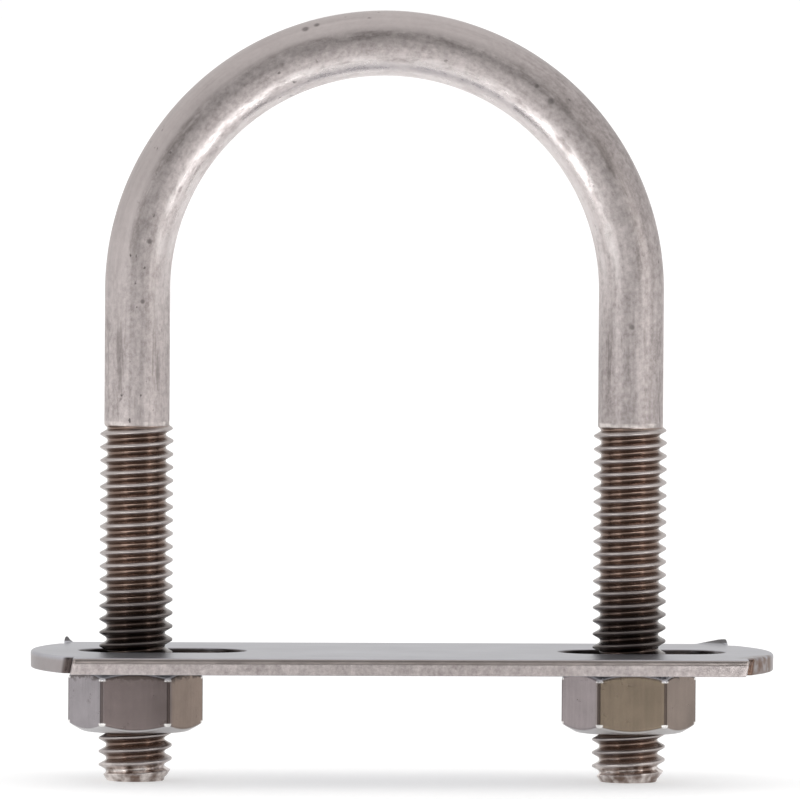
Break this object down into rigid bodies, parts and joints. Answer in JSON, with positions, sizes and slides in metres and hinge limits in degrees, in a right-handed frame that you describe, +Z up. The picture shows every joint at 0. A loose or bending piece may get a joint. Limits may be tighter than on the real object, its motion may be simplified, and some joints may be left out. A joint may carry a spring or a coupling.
{
  "type": "u-bolt with clamp plate",
  "caption": "Round stainless steel U-bolt with threaded legs, a slotted clamp plate across them and hex nuts under the plate, for clamping a pipe or rail to a bracket.",
  "frame": {"origin": "on the clamp plate's upper face, midway between the axes of the two legs", "axes": "+Z up, from the plate towards the top of the bow; X from the left leg to the right leg; the front of the object is its -Y side"},
  "size_m": [0.0792, 0.0286, 0.0822],
  "materials": {
    "bent_rod": "drawn and pickled stainless steel, lightly pitted",
    "stamped_plate": "mill-finish stainless steel with sheared edges",
    "hex_nut": "bright machined stainless steel"
  },
  "bodies": {
    "plate": {"clamp_plate": "stamped_plate"},
    "bolt": {"u_bolt": "bent_rod"},
    "nut_left": {"nut_left": "hex_nut"},
    "nut_right": {"nut_right": "hex_nut"}
  },
  "joints": [
    {"name": "bolt_draw", "type": "slide", "parent": "plate", "child": "bolt", "axis": [0, 0, -1], "range_m": [-0.00494, 0.0247]},
    {"name": "nut_left_turn", "type": "hinge", "parent": "plate", "child": "nut_left", "pos_m": [-0.02635, 0, -0.0052], "axis": [0, 0, 1], "range_deg": [-1261, 6302]},
    {"name": "nut_right_turn", "type": "hinge", "parent": "plate", "child": "nut_right", "pos_m": [0.02635, 0, -0.0052], "axis": [0, 0, 1], "range_deg": [-1261, 6302]}
  ],
  "couplings": [
    {"joint": "nut_left_turn", "follows": "bolt_draw", "rad_per_m": 4452.7},
    {"joint": "nut_right_turn", "follows": "bolt_draw", "rad_per_m": 4452.7}
  ]
}
